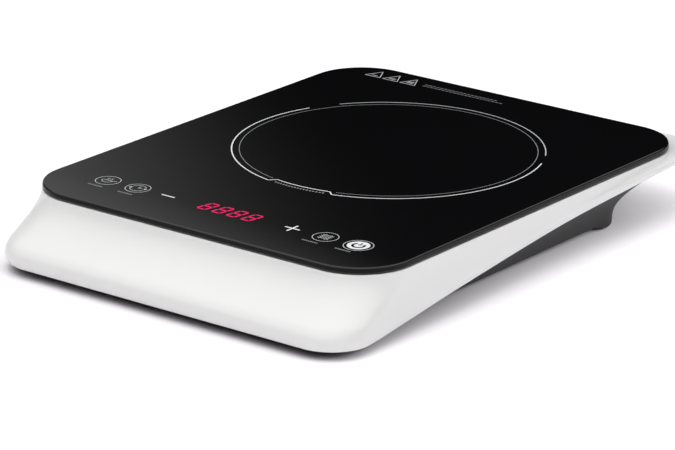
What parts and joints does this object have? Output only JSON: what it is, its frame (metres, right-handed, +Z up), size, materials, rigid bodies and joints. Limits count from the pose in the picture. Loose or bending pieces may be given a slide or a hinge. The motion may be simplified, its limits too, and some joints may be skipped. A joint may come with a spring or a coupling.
{
  "type": "portable induction cooktop",
  "caption": "Portable induction hob: round-cornered black glass plate with a ringed cooking zone and touch panel on a flared white housing over a dark base with feet.",
  "frame": {"origin": "on the ground, below the middle of the whole outline", "axes": "+Z up, front with the touch panel towards -Y, +X to the right of a person at the front"},
  "size_m": [0.29, 0.3976, 0.05],
  "materials": {
    "black_glass": "polished black glass-ceramic",
    "seal_silicone": "matte silicone",
    "white_housing": "satin-gloss moulded ABS",
    "dark_base": "fine spark texture",
    "foot_rubber": "matte",
    "gland_plastic": "matte",
    "mica": "pressed mica sheet",
    "copper_wire": "enamelled copper",
    "dark_plastic": "heat-resistant moulded plastic",
    "ferrite": "sintered, matte",
    "spring_steel": "bright wire",
    "screw_steel": "zinc plated",
    "sensor_ceramic": "matte",
    "white_plastic": "moulded",
    "white_sleeve": "silicone sleeve",
    "red_sleeve": "silicone sleeve",
    "green_board": "solder mask",
    "raw_aluminium": "extruded",
    "chip_plastic": "moulded epoxy",
    "thermal_pad": "soft silicone",
    "film_capacitor": "epoxy-filled box",
    "yellow_capacitor": "epoxy-filled box",
    "powder_core": "coated iron powder",
    "fuse_ceramic": "with end caps",
    "blue_coating": "dipped epoxy",
    "can_sleeve": "heat-shrink sleeve",
    "transformer_tape": "polyester tape",
    "black_plastic": "moulded",
    "terminal_brass": "turned",
    "tinned_metal": "tinned",
    "ivory_plastic": "moulded",
    "bearing_bronze": "sintered bronze",
    "display_black": "smoked face",
    "led_red": "clear red",
    "ribbon_grey": "flat cable"
  },
  "bodies": {
    "hob": {"glass_plate": "black_glass", "glass_seal": "seal_silicone", "upper_housing": "white_housing", "base_shell": "dark_base", "foot_front_left": "foot_rubber", "foot_front_right": "foot_rubber", "foot_rear_left": "foot_rubber", "foot_rear_right": "foot_rubber", "cord_gland": "gland_plastic", "mica_sheet": "mica", "coil_winding": "copper_wire", "coil_former": "dark_plastic", "ferrite_bars": "ferrite", "coil_springs": "spring_steel", "coil_screws": "screw_steel", "thermistor": "sensor_ceramic", "thermistor_holder": "white_plastic", "thermistor_lead": "white_sleeve", "coil_leads": "red_sleeve", "main_board": "green_board", "heatsink": "raw_aluminium", "igbt": "chip_plastic", "bridge_rectifier": "chip_plastic", "thermal_pads": "thermal_pad", "heatsink_screws": "screw_steel", "resonant_capacitor": "film_capacitor", "filter_capacitor": "film_capacitor", "x_capacitor": "yellow_capacitor", "choke_core": "powder_core", "choke_winding": "copper_wire", "line_filter_core": "ferrite", "line_filter_windings": "copper_wire", "fuse": "fuse_ceramic", "varistor": "blue_coating", "current_transformer": "blue_coating", "electrolytic_capacitors": "can_sleeve", "smps_transformer": "transformer_tape", "buzzer": "black_plastic", "coil_terminals": "terminal_brass", "mains_terminals": "tinned_metal", "driver_chips": "chip_plastic", "board_connectors": "ivory_plastic", "board_screws": "screw_steel", "fan_frame": "black_plastic", "fan_stator": "copper_wire", "fan_bearing": "bearing_bronze", "fan_screws": "screw_steel", "fan_lead": "red_sleeve", "air_baffle": "dark_plastic", "display_bracket": "white_plastic", "display_board": "green_board", "digit_display": "display_black", "touch_springs": "spring_steel", "indicator_leds": "led_red", "ribbon_cable": "ribbon_grey", "housing_screws": "screw_steel", "display_screws": "screw_steel"},
    "fan": {"fan_rotor": "black_plastic", "fan_magnet": "ferrite", "fan_shaft": "screw_steel"}
  },
  "joints": [
    {"name": "fan_spin", "type": "hinge", "parent": "hob", "child": "fan", "pos_m": [0.062, -0.1, 0.0155], "axis": [0, 0, 1], "continuous": true}
  ]
}
